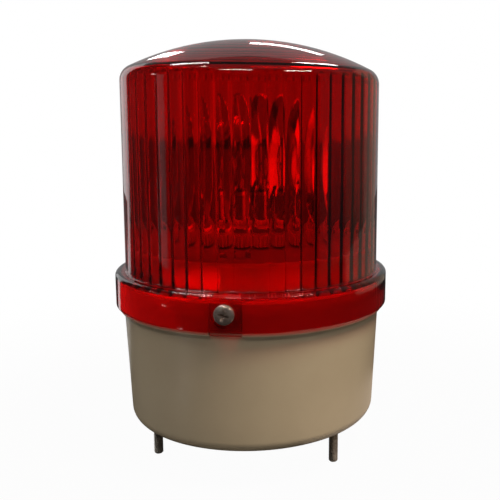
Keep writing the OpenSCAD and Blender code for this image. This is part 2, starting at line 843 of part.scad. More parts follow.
// Mirror dish on a round foot, with two ribs at its back and a notch for the lamp holder
module reflector() {
    rib_front = mirror_focus / 2;
    clip_z = foot_top - bite;
    color([0.86, 0.87, 0.88])
        rotate([0, 0, mirror_heading])
            difference() {
                union() {
                    tube(foot_r, foot_ir, gear_top, foot_top);
                    difference() {
                        at_mirror() mirror_dish();
                        translate([-mirror_d, -mirror_d, clip_z - mirror_d])
                            cube([2 * mirror_d, 2 * mirror_d, mirror_d]);
                    }
                    for (y = [-mirror_rib_y, mirror_rib_y])
                        difference() {
                            translate([0, y + mirror_rib_t / 2, 0])
                                rotate([90, 0, 0])
                                    linear_extrude(mirror_rib_t)
                                        polygon([
                                            [mirror_rib_inset - foot_r, foot_top - bite], [-rib_front, foot_top - bite],
                                            [-rib_front, lamp_z - mirror_rib_drop],
                                            [-mirror_focus, lamp_z - mirror_rib_drop]
                                        ]);
                            at_mirror() mirror_front();
                        }
                }
                hole(2 * foot_ir, gear_top - cut, lamp_z - glass_r);
                rotate([0, 0, -mirror_heading])
                    at_foot_screws()
                        hole(foot_screw_d + 2 * slide_gap, gear_top - cut, foot_top + cut);
            }
}

module reflector_screws() {
    color(nickel)
        at_foot_screws()
            translate([0, 0, foot_top]) pan_screw(foot_screw_d, foot_screw_l, foot_head_d, foot_head_h);
}

// Shell of the lamp holder, with two bayonet slots
module lamp_socket() {
    color(nickel)
        difference() {
            union() {
                hole(2 * socket_r, socket_z, socket_rim_z);
                hole(2 * socket_flange_r, post_top, post_top + socket_flange_t);
            }
            hole(2 * socket_ir, socket_z + socket_floor_t, socket_rim_z + cut);
            hole(2 * socket_floor_ir, socket_z - cut, socket_z + 2 * cut);
            for (a = [0, 180])
                rotate([0, 0, a]) {
                    translate([socket_ir - cut, -slot_w / 2, pin_z - slot_w / 2])
                        cube([socket_wall + 2 * cut, slot_w, socket_rim_z - pin_z + slot_w]);
                    translate([0, 0, pin_z - slot_w / 2])
                        rotate_extrude(angle = slot_turn)
                            translate([socket_ir - cut, 0]) square([socket_wall + 2 * cut, slot_w]);
                }
        }
}

module contact_insulator() {
    color([0.45, 0.27, 0.14])
        difference() {
            hole(2 * (socket_ir - slide_gap), insulator_z, insulator_top);
            hole(contact_d + 2 * thread_gap, insulator_z - cut, insulator_top + cut);
        }
}

// Rivet through the insulator with a bowed leaf on top, which presses on the lamp
module centre_contact() {
    color(brass) {
        hole(contact_d, contact_z, insulator_top + bite);
        hole(leaf_d, insulator_top, insulator_top + leaf_h);
    }
}

module bulb_cap() {
    color(brass)
        difference() {
            union() {
                hole(lamp_cap_d, cap_z, cap_top);
                hole(lamp_contact_d, cap_z - lamp_contact_h, cap_z + bite);
                for (a = [0, 180])
                    rotate([0, 0, a + pin_turn])
                        facing_out(pin_z) hole(lamp_pin_d, 0, cap_r + lamp_pin_proud);
            }
            hole(2 * (cap_r - cap_rim), glass_z, cap_top + cut);
        }
}

module bulb_glass() {
    neck_angle = acos(glass_neck_r / glass_r);
    inner_r = glass_r - glass_t;
    inner_neck_r = glass_neck_r - glass_t;
    inner_neck_angle = acos(inner_neck_r / inner_r);
    color([0.92, 0.95, 0.96, 0.4])
        rotate_extrude()
            polygon(concat(
                [[inner_neck_r, glass_z], [glass_neck_r, glass_z]],
                arc([0, lamp_z], glass_r, -neck_angle, 90, 16),
                arc([0, lamp_z], inner_r, 90, -inner_neck_angle, 16)
            ));
}

// Glass bead, two support wires and the filament
module bulb_filament() {
    bead_d = 4.4;
    bead_h = 4;
    wire_d = 0.6;
    coil_d = 1.1;
    foot_x = 1.2;
    coil_x = 3.5;
    color([0.6, 0.6, 0.58]) {
        hole(bead_d, glass_z, glass_z + bead_h);
        for (s = [-1, 1])
            rod([s * foot_x, 0, glass_z + bead_h - bite], [s * coil_x, 0, lamp_z], wire_d);
        rod([-coil_x - wire_d, 0, lamp_z], [coil_x + wire_d, 0, lamp_z], coil_d);
    }
}

// Places children at each way of the terminal block
module at_ways() {
    first = block_y + block_l / 2 - way_pitch * (way_count - 1) / 2;
    for (i = [0 : way_count - 1]) translate([block_x, first + i * way_pitch, 0]) children();
}

module terminal_block() {
    color([0.88, 0.87, 0.82])
        difference() {
            translate([block_x, block_y, floor_t]) cube([block_w, block_l, block_h]);
            at_ways() {
                facing_out(way_z) {
                    hole(way_d, block_w - way_l, block_w + cut);
                    hole(way_d, -cut, way_l);
                }
                translate([block_w / 2, 0, 0])
                    hole(way_screw_d + 2 * slide_gap, floor_t + block_h - way_well, floor_t + block_h + cut);
            }
        }
}

module terminal_screws() {
    slot = 0.6;
    bottom = floor_t + block_h - way_well;
    color(nickel)
        at_ways()
            translate([block_w / 2, 0, 0])
                difference() {
                    hole(way_screw_d, bottom, bottom + way_screw_h);
                    translate([-way_screw_d, -slot / 2, bottom + way_screw_h - slot])
                        cube([2 * way_screw_d, slot, cut]);
                }
}

module lamp_leads() {
    color([0.55, 0.08, 0.06]) for (route = lamp_lead_routes) sweep_tube(route, lead_d / 2);
}

module motor_leads() {
    color([0.10, 0.12, 0.35]) for (route = motor_lead_routes) sweep_tube(route, lead_d / 2);
}

base_housing();
lens();
lens_gasket();
lens_screws();
lens_screw_inserts();
mounting_studs();
cable_grommet();
chassis();
chassis_screws();
motor_can();
motor_end_cap();
motor_screws();
motor_shaft();
drive_pinion();
turntable_gear();
thrust_washer();
retaining_ring();
reflector();
reflector_screws();
lamp_socket();
contact_insulator();
centre_contact();
bulb_cap();
bulb_glass();
bulb_filament();
terminal_block();
terminal_screws();
lamp_leads();
motor_leads();
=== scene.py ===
import json
import math

import bmesh
import bpy
from mathutils import Matrix, Vector


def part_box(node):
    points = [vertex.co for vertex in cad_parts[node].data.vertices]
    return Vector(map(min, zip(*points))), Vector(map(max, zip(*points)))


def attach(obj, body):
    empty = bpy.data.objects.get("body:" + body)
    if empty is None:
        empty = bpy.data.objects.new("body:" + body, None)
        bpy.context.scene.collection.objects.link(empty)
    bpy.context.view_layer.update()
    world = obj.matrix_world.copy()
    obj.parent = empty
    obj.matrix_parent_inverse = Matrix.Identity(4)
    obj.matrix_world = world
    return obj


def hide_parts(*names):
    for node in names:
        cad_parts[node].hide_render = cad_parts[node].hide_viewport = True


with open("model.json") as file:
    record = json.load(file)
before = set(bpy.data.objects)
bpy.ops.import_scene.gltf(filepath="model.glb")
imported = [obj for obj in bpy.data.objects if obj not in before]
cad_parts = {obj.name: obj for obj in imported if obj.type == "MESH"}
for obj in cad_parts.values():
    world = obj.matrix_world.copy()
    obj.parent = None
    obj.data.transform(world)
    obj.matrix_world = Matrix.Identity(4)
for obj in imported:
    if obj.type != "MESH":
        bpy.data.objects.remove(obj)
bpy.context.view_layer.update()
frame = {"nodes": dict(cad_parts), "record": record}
mm = 0.001
mergeGap = 0.001 * mm  # merge by distance
print("frame loaded:", len(frame["nodes"]), "nodes")


# Places that the frame gives
lensLow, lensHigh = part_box("lens")
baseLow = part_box("base_housing")[0]
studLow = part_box("mounting_studs")[0]
skirtRadius = lensHigh.y
skirtBottom = lensLow.z
apexHeight = lensHigh.z
footHeight = baseLow.z
floorHeight = studLow.z
screwAngles = [-90, 30, 150]
studAngles = [-150, -30, 90]


# Small tools for working by hand
def clearSelection():
    if bpy.context.object and bpy.context.object.mode != "OBJECT":
        bpy.ops.object.mode_set(mode="OBJECT")
    bpy.ops.object.select_all(action="DESELECT")


def pickOnly(obj):
    clearSelection()
    obj.select_set(True)
    bpy.context.view_layer.objects.active = obj


def openMesh(obj):
    pickOnly(obj)
    bpy.ops.object.mode_set(mode="EDIT")
    bpy.ops.mesh.select_mode(type="VERT")


def closeMesh():
    bpy.ops.object.mode_set(mode="OBJECT")


def selectVerts(obj, test):
    # only the vertices whose place passes the test
    bpy.ops.mesh.select_all(action="DESELECT")
    mesh = bmesh.from_edit_mesh(obj.data)
    for vert in mesh.verts:
        if test(vert.co):
            vert.select = True
    mesh.select_flush_mode()
    bmesh.update_edit_mesh(obj.data)


def selectMembers(obj, members):
    # only the vertices with these numbers
    bpy.ops.mesh.select_all(action="DESELECT")
    mesh = bmesh.from_edit_mesh(obj.data)
    mesh.verts.ensure_lookup_table()
    for index in members:
        mesh.verts[index].select = True
    mesh.select_flush_mode()
    bmesh.update_edit_mesh(obj.data)


def cleanMesh(obj):
    openMesh(obj)
    bpy.ops.mesh.select_all(action="SELECT")
    bpy.ops.mesh.remove_doubles(threshold=mergeGap)
    bpy.ops.mesh.normals_make_consistent(inside=False)
    closeMesh()


def applyPlace(obj):
    pickOnly(obj)
    bpy.ops.object.transform_apply(location=True, rotation=True, scale=True)


def useModifier(obj, kind, **settings):
    pickOnly(obj)
    modifier = obj.modifiers.new(kind.lower(), kind)
    for key, value in settings.items():
        setattr(modifier, key, value)
    bpy.ops.object.modifier_apply(modifier=modifier.name)


def combine(obj, tool, operation):
    useModifier(obj, "BOOLEAN", object=tool, operation=operation, solver="EXACT")
    bpy.data.objects.remove(tool)


def joinAll(parts, name):
    clearSelection()
    for part in parts:
        part.select_set(True)
    bpy.context.view_layer.objects.active = parts[0]
    bpy.ops.object.join()
    parts[0].name = name
    return parts[0]


def arcPoints(centre, radius, start, end, steps):
    points = []
    for i in range(steps + 1):
        angle = math.radians(start + (end - start) * i / steps)
        points.append((centre[0] + radius * math.cos(angle), centre[1] + radius * math.sin(angle)))
    return points


def drawLine(name, points):
    # a line drawn point by point in the XZ plane
    clearSelection()
    bpy.ops.mesh.primitive_plane_add(size=mm, location=(0, 0, 0))
    piece = bpy.context.object
    piece.name = name
    openMesh(piece)
    bpy.ops.mesh.select_all(action="SELECT")
    bpy.ops.mesh.merge(type="CENTER")
    bpy.ops.transform.translate(value=(points[0][0], 0, points[0][1]))
    for last, point in zip(points, points[1:]):
        step = (point[0] - last[0], 0, point[1] - last[1])
        bpy.ops.mesh.extrude_vertices_move(TRANSFORM_OT_translate={"value": step})
    closeMesh()
    return piece


def turnProfile(name, points, steps, sweep=360):
    # that line spun round Z
    piece = drawLine(name, points)
    openMesh(piece)
    bpy.ops.mesh.select_all(action="SELECT")
    bpy.ops.mesh.spin(steps=steps, angle=math.radians(sweep), center=(0, 0, 0), axis=(0, 0, 1))
    closeMesh()
    cleanMesh(piece)
    return piece


def turnAbout(angle):
    return Matrix.Rotation(math.radians(angle), 4, "Z")


def joinCopies(obj, places, name):
    # one piece out of copies that stand in these places
    copies = []
    for matrix in places:
        twin = obj.copy()
        twin.data = obj.data.copy()
        bpy.context.scene.collection.objects.link(twin)
        twin.matrix_world = matrix
        applyPlace(twin)
        copies.append(twin)
    bpy.data.objects.remove(obj)
    return joinAll(copies, name)


def aroundAxis(obj, angles, name):
    return joinCopies(obj, [turnAbout(angle) for angle in angles], name)


def smoothEdges(obj, angle=30):
    pickOnly(obj)
    bpy.ops.object.shade_smooth_by_angle(angle=math.radians(angle))


def finishPiece(obj, body, slot, material, *nodes):
    obj.data.materials.clear()
    obj.data.materials.append(material)
    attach(obj, body)
    if nodes:
        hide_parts(*nodes)
    print(obj.name, "has", len(obj.data.polygons), "faces")


# Finishes
noiseSpan = (0.3, 0.7)  # where most of a noise's values lie
mouldGrain = {
    "coarseShare": 0.12,  # of the fine grain's scale
    "strength": 0.25,
}
drawnLines = {
    "detail": 4.0,
    "stretch": (1, 1, 0.15),
    "strength": 0.1,
    "depth": 0.02 * mm,
}


def newMaterial(name):
    material = bpy.data.materials.new(name)
    material.use_nodes = True
    return material, material.node_tree, material.node_tree.nodes["Principled BSDF"]


def addNode(tree, kind, **values):
    node = tree.nodes.new(kind)
    for key, value in values.items():
        node.inputs[key].default_value = value
    return node


def addMath(tree, operation, first, second=None):
    node = tree.nodes.new("ShaderNodeMath")
    node.operation = operation
    tree.links.new(first, node.inputs[0])
    if second is not None:
        tree.links.new(second, node.inputs[1])
    return node.outputs[0]


def mixShaders(tree, share, first, second, target):
    mix = tree.nodes.new("ShaderNodeMixShader")
    for index, source in enumerate((share, first, second)):
        tree.links.new(source, mix.inputs[index])
    tree.links.new(mix.outputs["Shader"], target)


def addMeasure(tree, operation, vector, start=(0, 0, 0)):
    # how long a vector is, or how far it lies from a point
    node = tree.nodes.new("ShaderNodeVectorMath")
    node.operation = operation
    node.inputs[1].default_value = start
    tree.links.new(vector, node.inputs[0])
    return node.outputs["Value"]


def addNoise(tree, scale, detail=3.0, stretch=(1, 1, 1)):
    place = tree.nodes.new("ShaderNodeTexCoord")
    mapping = addNode(tree, "ShaderNodeMapping", Scale=stretch)
    noise = addNode(tree, "ShaderNodeTexNoise", Scale=scale, Detail=detail)
    tree.links.new(place.outputs["Object"], mapping.inputs["Vector"])
    tree.links.new(mapping.outputs["Vector"], noise.inputs["Vector"])
    return noise.outputs["Fac"]


def addStep(tree, value, span, first, last, kind="LINEAR"):
    # from the first value to the last over a span
    step = tree.nodes.new("ShaderNodeMapRange")
    step.interpolation_type = kind
    step.inputs["From Min"].default_value = span[0]
    step.inputs["From Max"].default_value = span[1]
    step.inputs["To Min"].default_value = first
    step.inputs["To Max"].default_value = last
    tree.links.new(value, step.inputs["Value"])
    return step.outputs["Result"]


def vary(tree, factor, low, high, target):
    tree.links.new(addStep(tree, factor, noiseSpan, low, high), target)


def mottle(tree, factor, first, second, target):
    ramp = tree.nodes.new("ShaderNodeValToRGB")
    for stop, place, colour in zip(ramp.color_ramp.elements, noiseSpan, (first, second)):
        stop.position = place
        stop.color = (*colour, 1)
    tree.links.new(factor, ramp.inputs["Fac"])
    tree.links.new(ramp.outputs["Color"], target)


def addBump(tree, factor, strength, depth, shader):
    bump = addNode(tree, "ShaderNodeBump", Strength=strength, Distance=depth)
    tree.links.new(factor, bump.inputs["Height"])
    tree.links.new(bump.outputs["Normal"], shader.inputs["Normal"])
    return bump


def moulded(name, first, second, roughness, grain, depth, metallic=0.0):
    # moulded, cast or plated surface: a mottled colour, uneven gloss and a fine grain
    material, tree, shader = newMaterial(name)
    shader.inputs["Metallic"].default_value = metallic
    coarse = addNoise(tree, grain * mouldGrain["coarseShare"])
    fine = addNoise(tree, grain)
    mottle(tree, coarse, first, second, shader.inputs["Base Color"])
    vary(tree, coarse, *roughness, shader.inputs["Roughness"])
    addBump(tree, fine, mouldGrain["strength"], depth, shader)
    return material


def turnedMetal(name, first, second, roughness, grain, metallic=1.0):
    # plated or bare metal with fine drawn lines
    material, tree, shader = newMaterial(name)
    shader.inputs["Metallic"].default_value = metallic
    lines = addNoise(tree, grain, drawnLines["detail"], drawnLines["stretch"])
    mottle(tree, lines, first, second, shader.inputs["Base Color"])
    vary(tree, lines, *roughness, shader.inputs["Roughness"])
    addBump(tree, lines, drawnLines["strength"], drawnLines["depth"], shader)
    return material


def facingUp(tree):
    facing = tree.nodes.new("ShaderNodeNewGeometry")
    split = tree.nodes.new("ShaderNodeSeparateXYZ")
    tree.links.new(facing.outputs["True Normal"], split.inputs["Vector"])
    return split.outputs["Z"]


def paintedUpwardShade(material, brown):
    # painted shade: the more a face looks up, the more its colour turns to the given shade, so tops look
    # less lit
    tree = material.node_tree
    colour = tree.nodes["Principled BSDF"].inputs["Base Color"]
    mix = tree.nodes.new("ShaderNodeMix")
    mix.data_type = "RGBA"
    tree.links.new(facingUp(tree), mix.inputs[0])
    tree.links.new(colour.links[0].from_socket, mix.inputs[6])
    mix.inputs[7].default_value = (*brown, 1)
    tree.links.new(mix.outputs[2], colour)
    return material


lensFinish = {
    "tint": (0.955, 0.0, 0.03, 1),
    "density": 2000.0,  # per metre
    "ior": 1.49,
    "roughness": (0.015, 0.05),
    "ripple": 60.0,
    "throughShadow": (0.71, 0.58, 0.58, 1),
    "streaks": 700.0,  # upright marks of the mould on the wall
    "streakDetail": 2.0,
    "streakStretch": (1, 1, 0.012),
    "streakDepth": 0.05 * mm,
    "streakStrength": 0.8,
    "streakSlope": (0.0, 0.2),  # they fade as the face tilts
    "rings": 420.0,  # turned marks of the mould inside the dome
    "ringDetail": 1.0,
    "ringDepth": 0.2 * mm,
    "ringCentre": (0, 0, 48.6 * mm),  # of the dome's curve
    "ringReach": (113.4 * mm, 114.4 * mm),  # they fade between its two faces
    "ringStart": (141 * mm, 147 * mm),
}


def addStreaks(tree, finish, shader):
    streaks = addNoise(tree, finish["streaks"], finish["streakDetail"], finish["streakStretch"])
    bump = addBump(tree, streaks, 0.0, finish["streakDepth"], shader)
    tilt = addMath(tree, "ABSOLUTE", facingUp(tree))
    wall = addStep(tree, tilt, finish["streakSlope"], finish["streakStrength"], 0.0)
    tree.links.new(wall, bump.inputs["Strength"])
    return bump


def addRings(tree, finish, shader, streaks):
    # round marks on the dome's inner face, over the wall's streaks
    place = tree.nodes.new("ShaderNodeTexCoord").outputs["Object"]
    split = tree.nodes.new("ShaderNodeSeparateXYZ")
    flat = tree.nodes.new("ShaderNodeCombineXYZ")
    tree.links.new(place, split.inputs["Vector"])
    tree.links.new(split.outputs["X"], flat.inputs["X"])
    tree.links.new(split.outputs["Y"], flat.inputs["Y"])
    marks = addNode(tree, "ShaderNodeTexNoise", Scale=finish["rings"], Detail=finish["ringDetail"])
    marks.noise_dimensions = "1D"
    tree.links.new(addMeasure(tree, "LENGTH", flat.outputs["Vector"]), marks.inputs["W"])
    away = addMeasure(tree, "DISTANCE", place, finish["ringCentre"])
    inside = addStep(tree, away, finish["ringReach"], 1.0, 0.0)
    above = addStep(tree, split.outputs["Z"], finish["ringStart"], 0.0, 1.0)
    rings = addBump(tree, marks.outputs["Fac"], 0.0, finish["ringDepth"], shader)
    tree.links.new(addMath(tree, "MULTIPLY", inside, above), rings.inputs["Strength"])
    tree.links.new(streaks.outputs["Normal"], rings.inputs["Normal"])


def clearRedLens(finish):
    material, tree, shader = newMaterial("clearRedLens")
    shader.inputs["Base Color"].default_value = (1, 1, 1, 1)
    shader.inputs["Transmission Weight"].default_value = 1.0
    shader.inputs["IOR"].default_value = finish["ior"]
    vary(tree, addNoise(tree, finish["ripple"]), *finish["roughness"], shader.inputs["Roughness"])
    addRings(tree, finish, shader, addStreaks(tree, finish, shader))
    output = tree.nodes["Material Output"]
    path = tree.nodes.new("ShaderNodeLightPath")
    shade = addNode(tree, "ShaderNodeBsdfTransparent", Color=finish["throughShadow"])
    surfaces = (shader.outputs["BSDF"], shade.outputs["BSDF"])
    mixShaders(tree, path.outputs["Is Shadow Ray"], *surfaces, output.inputs["Surface"])
    absorb = addNode(tree, "ShaderNodeVolumeAbsorption", Color=finish["tint"], Density=finish["density"])
    tree.links.new(absorb.outputs["Volume"], output.inputs["Volume"])
    return material


bulbFinish = {
    "tint": (0.98, 0.99, 0.99, 1),
    "ior": 1.5,
    "roughness": (0.0, 0.03),
    "ripple": 120.0,
}


def clearBulbGlass(finish):
    material, tree, shader = newMaterial("clearBulbGlass")
    shader.inputs["Base Color"].default_value = finish["tint"]
    shader.inputs["Transmission Weight"].default_value = 1.0
    shader.inputs["IOR"].default_value = finish["ior"]
    vary(tree, addNoise(tree, finish["ripple"]), *finish["roughness"], shader.inputs["Roughness"])
    return material


# two shades, gloss from and to, grain and its depth
paleGrey = moulded(
    "paleGreyMoulding", (0.58, 0.57, 0.54), (0.64, 0.63, 0.60), (0.35, 0.5), 1200.0, 0.03 * mm)
offWhite = moulded("whiteMoulding", (0.50, 0.47, 0.41), (0.58, 0.55, 0.48), (0.3, 0.42), 1200.0, 0.02 * mm)
finishes = {
    "base_plastic": moulded(
        "beigeMoulding", (0.335, 0.270, 0.182), (0.347, 0.281, 0.190), (0.3, 0.36), 900.0, 0.006 * mm),
    "red_lens": clearRedLens(lensFinish),
    "black_rubber": moulded(
        "blackRubber", (0.02, 0.02, 0.02), (0.035, 0.034, 0.033), (0.6, 0.8), 1500.0, 0.04 * mm),
    # painted reflection: the nickel's reddish brown tint stands in for the red lens mirrored in the screw
    # heads
    "nickel_steel": turnedMetal(
        "nickelPlatePaintedReflection", (0.38, 0.28, 0.24), (0.50, 0.39, 0.34), (0.16, 0.28), 2500.0, 0.9),
    "zinc_steel": turnedMetal(
        "zincPlate", (0.33, 0.29, 0.25), (0.48, 0.43, 0.37), (0.24, 0.42), 2500.0, 0.7),
    "brass": turnedMetal(
        "bareBrass", (0.62, 0.42, 0.14), (0.78, 0.56, 0.22), (0.2, 0.36), 2500.0),
    "pale_rubber": moulded(
        "paleRubber", (0.66, 0.63, 0.57), (0.72, 0.69, 0.63), (0.5, 0.7), 1500.0, 0.03 * mm),
    # painted shade on the pale grey moulding's upward faces
    "grey_plastic": paintedUpwardShade(paleGrey, (0.17, 0.14, 0.12)),
    "black_plastic": moulded(
        "blackMoulding", (0.018, 0.018, 0.018), (0.03, 0.03, 0.03), (0.35, 0.5), 1200.0, 0.03 * mm),
    # painted shade on the off-white moulding's upward faces
    "white_plastic": paintedUpwardShade(offWhite, (0.24, 0.19, 0.15)),
    "mirror_plastic": moulded(
        "mirrorCoat", (0.82, 0.82, 0.83), (0.88, 0.88, 0.89), (0.06, 0.12), 150.0, 0.01 * mm, 1.0),
    "brown_fibre": moulded(
        "brownFibre", (0.13, 0.06, 0.02), (0.19, 0.09, 0.035), (0.5, 0.7), 1800.0, 0.05 * mm),
    "bulb_glass": clearBulbGlass(bulbFinish),
    "red_wire": moulded(
        "redWireCover", (0.30, 0.01, 0.008), (0.36, 0.015, 0.012), (0.35, 0.5), 1500.0, 0.02 * mm),
    "blue_wire": moulded(
        "blueWireCover", (0.01, 0.016, 0.12), (0.014, 0.02, 0.16), (0.35, 0.5), 1500.0, 0.02 * mm),
}
slotOf = {part["node"]: part["material_slot"] for part in frame["record"]["subparts"]}
for nodeName, nodeObject in frame["nodes"].items():
    nodeObject.data.materials.clear()
    nodeObject.data.materials.append(finishes[slotOf[nodeName]])
print("finishes made:", len(finishes))


# Fluted lens: one clear moulding, spun from its section
lensShape = {
    "skirtHeight": 15 * mm,
    "skirtWall": 2.6 * mm,
    "footRound": 0.8 * mm,
    "edgeRound": 2 * mm,
    "ledgeWidth": 4.4 * mm,
    "ledgeThickness": 2.5 * mm,
    "rootRound": 0.8 * mm,
    "draft": 0.4 * mm,
    "wall": 2.6 * mm,
    "domeRise": 18 * mm,
    "shoulderRound": 6.5 * mm,
    "flutes": 54,
    "stepsPerFlute": 20,
    "fluteDepth": 0.8 * mm,
    "fluteEdgeStep": 9,  # steps from a flute's middle to its edge
    "padWidth": 12 * mm,
    "padProud": 1.4 * mm,
    "holeRadius": 2.25 * mm,
    "seatRadius": 5.2 * mm,
    "seatDepth": 1 * mm,
    "domeSteps": (12, 14),  # inside and outside
    "bendSteps": 10,
    "edgeSteps": 8,
    "smallSteps": 4,
}


def lensSection(shape):
    ledge = skirtBottom + shape["skirtHeight"]
    seat = ledge - shape["ledgeThickness"]
    shoulder = apexHeight - shape["domeRise"]
    wallRadius = skirtRadius - shape["ledgeWidth"]
    topRadius = wallRadius - shape["draft"]
    innerRadius = topRadius - shape["wall"]
    skirtInner = skirtRadius - shape["skirtWall"]
    bend = shape["shoulderRound"]
    rise = shape["domeRise"]
    domeRadius = ((topRadius - bend) ** 2 + rise ** 2 - bend ** 2) / (2 * (rise - bend))
    domeCentre = apexHeight - domeRadius
    domeStart = math.degrees(math.atan2(shoulder - domeCentre, topRadius - bend))
    foot = shape["footRound"]
    edge = shape["edgeRound"]
    root = shape["rootRound"]
    bendCentre = (topRadius - bend, shoulder)
    inside = arcPoints((0, domeCentre), domeRadius - shape["wall"], 90, domeStart, shape["domeSteps"][0])
    inside += arcPoints(bendCentre, bend - shape["wall"], domeStart, 0, shape["bendSteps"])[1:]
    inside += [(innerRadius, (shoulder + seat) / 2), (innerRadius, seat), (skirtInner, seat)]
    inside += [(skirtInner, skirtBottom)]
    outside = arcPoints((skirtRadius - foot, skirtBottom + foot), foot, -90, 0, shape["smallSteps"])
    outside += arcPoints((skirtRadius - edge, ledge - edge), edge, 0, 90, shape["edgeSteps"])
    outside += arcPoints((wallRadius + root, ledge + root), root, -90, -180, shape["smallSteps"])
    outside += arcPoints(bendCentre, bend, 0, domeStart, shape["bendSteps"])
    outside += arcPoints((0, domeCentre), domeRadius, domeStart, 90, shape["domeSteps"][1])[1:]
    levels = {"inner": innerRadius, "seat": seat, "shoulder": shoulder}
    return inside + outside, levels


def shapeFlutes(piece, shape, levels):
    # each column of the inner wall is drawn in to the round of its flute, which runs out in the shoulder
    inner = levels["inner"]
    end = levels["shoulder"] + shape["shoulderRound"] - shape["wall"]
    start = math.radians(screwAngles[0])
    pitch = 2 * math.pi / shape["flutes"]
    step = pitch / shape["stepsPerFlute"]
    halfWidth = inner * math.sin(shape["fluteEdgeStep"] * step)
    sag = inner * math.cos(shape["fluteEdgeStep"] * step) - (inner - shape["fluteDepth"])
    fluteRadius = (halfWidth ** 2 + sag ** 2) / (2 * sag)
    centre = inner - shape["fluteDepth"] + fluteRadius
    fluteFace = []
    for column in range(shape["fluteEdgeStep"]):
        angle = column * step
        depth = math.sqrt(fluteRadius ** 2 - (centre * math.sin(angle)) ** 2)
        fluteFace.append(centre * math.cos(angle) - depth)
    wallLimit = inner + 10 * mergeGap
    groups = {}
    openMesh(piece)
    for vert in bmesh.from_edit_mesh(piece.data).verts:
        radius = math.hypot(vert.co.x, vert.co.y)
        away = (math.atan2(vert.co.y, vert.co.x) - start) % pitch
        column = round(min(away, pitch - away) / step)
        if column < len(fluteFace) and vert.co.z < end and fluteFace[column] < radius < wallLimit:
            groups.setdefault(fluteFace[column] / round(radius, 7), []).append(vert.index)
    for scale, members in groups.items():
        selectMembers(piece, members)
        bpy.ops.transform.resize(value=(scale, scale, 1), center_override=(0, 0, 0))
    closeMesh()


def outwardBlock(low, high):
    # a block on the +X side, between two corners
    clearSelection()
    size = Vector(high) - Vector(low)
    bpy.ops.mesh.primitive_cube_add(size=1, location=(Vector(low) + Vector(high)) / 2, scale=size)
    block = bpy.context.object
    applyPlace(block)
    return block


def outwardRod(radius, start, end, height, vertices=96):
    # a round rod along +X at a height
    clearSelection()
    place = ((start + end) / 2, 0, height)
    bpy.ops.mesh.primitive_cylinder_add(
        vertices=vertices, radius=radius, depth=end - start, location=place, rotation=(0, math.pi / 2, 0))
    rod = bpy.context.object
    applyPlace(rod)
    return rod


def makeLens(shape):
    points, levels = lensSection(shape)
    lens = turnProfile("fluted_lens", points, shape["flutes"] * shape["stepsPerFlute"])
    shapeFlutes(lens, shape, levels)
    skirtInner = skirtRadius - shape["skirtWall"]
    padLow = (skirtInner - shape["padProud"], -shape["padWidth"] / 2, skirtBottom + shape["footRound"])
    padTop = levels["seat"] + shape["ledgeThickness"] / 2
    padHigh = (skirtInner + shape["skirtWall"] / 2, shape["padWidth"] / 2, padTop)
    pads = aroundAxis(outwardBlock(padLow, padHigh), screwAngles, "pads")
    combine(lens, pads, "UNION")
    screwHeight = skirtBottom + shape["skirtHeight"] / 2
    hole = outwardRod(shape["holeRadius"], padLow[0] - mm, skirtRadius + mm, screwHeight)
    combine(lens, aroundAxis(hole, screwAngles, "holes"), "DIFFERENCE")
    seat = outwardRod(shape["seatRadius"], skirtRadius - shape["seatDepth"], skirtRadius + mm, screwHeight)
    combine(lens, aroundAxis(seat, screwAngles, "seats"), "DIFFERENCE")
    smoothEdges(lens)
    finishPiece(lens, "housing", "red_lens", finishes["red_lens"], "lens")


makeLens(lensShape)


# Lens screws: pan heads with a tapered cross recess
screwShape = {
    "headRadius": 4 * mm,
    "headHeight": 2.4 * mm,
    "edgeRound": 0.9 * mm,
    "underRound": 0.25 * mm,
    "shankRadius": 2 * mm,
    "shankLength": 9 * mm,
    "seat": 59 * mm,  # from the beacon's axis
    "height": 58.5 * mm,
    "recessLength": 5 * mm,  # at the head's face
    "recessWidth": 1.2 * mm,
    "recessDepth": 1.9 * mm,
    "recessTaper": 0.3,
    "turns": [-17, 24, -41],
    "crown": (0.16 * mm, 0.05 * mm),  # drop at the edge and part way in
    "crownShare": 0.55,
    "edgeSweep": 78,
    "edgeSteps": 8,
    "tipShare": 0.75,
    "tipLength": 0.5 * mm,
    "sides": 64,
}


def recessWing(shape, turn):
    # a bar that narrows downwards through the head's face
    face = shape["headHeight"]
    size = (shape["recessLength"], shape["recessWidth"], 2 * shape["recessDepth"])
    clearSelection()
    bpy.ops.mesh.primitive_cube_add(size=1, location=(0, 0, face), scale=size)
    wing = bpy.context.object
    applyPlace(wing)
    openMesh(wing)
    taper = shape["recessTaper"]
    selectVerts(wing, lambda co: co.z < face)
    bpy.ops.transform.resize(value=(taper, taper, 1), center_override=(0, 0, face))
    selectVerts(wing, lambda co: co.z > face)
    bpy.ops.transform.resize(value=(2 - taper, 2 - taper, 1), center_override=(0, 0, face))
    closeMesh()
    wing.rotation_euler.z = turn
    applyPlace(wing)
    return wing


